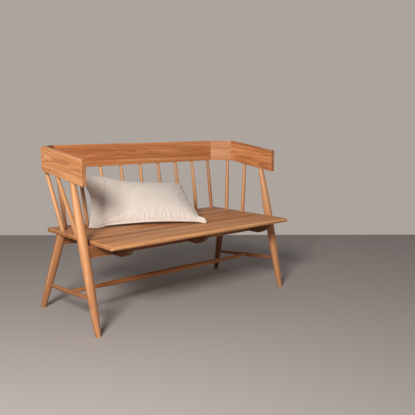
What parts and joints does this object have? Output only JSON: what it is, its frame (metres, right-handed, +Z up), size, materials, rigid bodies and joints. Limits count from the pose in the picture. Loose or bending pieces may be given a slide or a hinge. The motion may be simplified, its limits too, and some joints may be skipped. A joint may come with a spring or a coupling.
{
  "type": "spindle-back garden bench",
  "caption": "Teak bench with a wrap-round board back on turned spindles, turned splayed legs, a plank seat and a loose linen lumbar cushion.",
  "frame": {"origin": "on the floor, in the middle of the space that the bench takes up", "axes": "+X along the length of the bench, +Y towards its back, +Z up"},
  "size_m": [1.3448, 0.6886, 0.883],
  "materials": {
    "teak": "bare teak, light orange brown, flat-sawn grain, matt",
    "teak_turned": "bare teak, turned, straight grain along the axis, matt",
    "teak_under": "bare teak, shaded underframe, matt",
    "steel": "stainless screw",
    "linen": "washed natural linen, plain weave"
  },
  "bodies": {
    "bench": {"rail_back": "teak", "rail_corner_left": "teak", "rail_corner_right": "teak", "arm_left": "teak", "arm_right": "teak", "mitre_dowels": "teak_turned", "back_spindle_1": "teak_turned", "back_spindle_2": "teak_turned", "back_spindle_3": "teak_turned", "back_spindle_4": "teak_turned", "back_spindle_5": "teak_turned", "back_spindle_6": "teak_turned", "back_spindle_7": "teak_turned", "back_spindle_8": "teak_turned", "back_spindle_9": "teak_turned", "corner_spindle_left": "teak_turned", "corner_spindle_right": "teak_turned", "side_spindle_left": "teak_turned", "side_spindle_right": "teak_turned", "front_leg_left": "teak_turned", "front_leg_right": "teak_turned", "rear_leg_left": "teak_turned", "rear_leg_right": "teak_turned", "front_rail": "teak_under", "rear_rail": "teak_under", "bearer_left": "teak_under", "bearer_middle": "teak_under", "bearer_right": "teak_under", "side_stretcher_left": "teak_turned", "side_stretcher_right": "teak_turned", "cross_stretcher": "teak_turned", "seat_plank_front": "teak", "seat_plank_middle": "teak", "seat_plank_rear": "teak", "bearer_screws": "steel"},
    "cushion": {"cushion": "linen"}
  },
  "joints": [
    {"name": "cushion_lift", "type": "slide", "parent": "bench", "child": "cushion", "axis": [0, 0, 1], "range_m": [0, 0.35]}
  ]
}
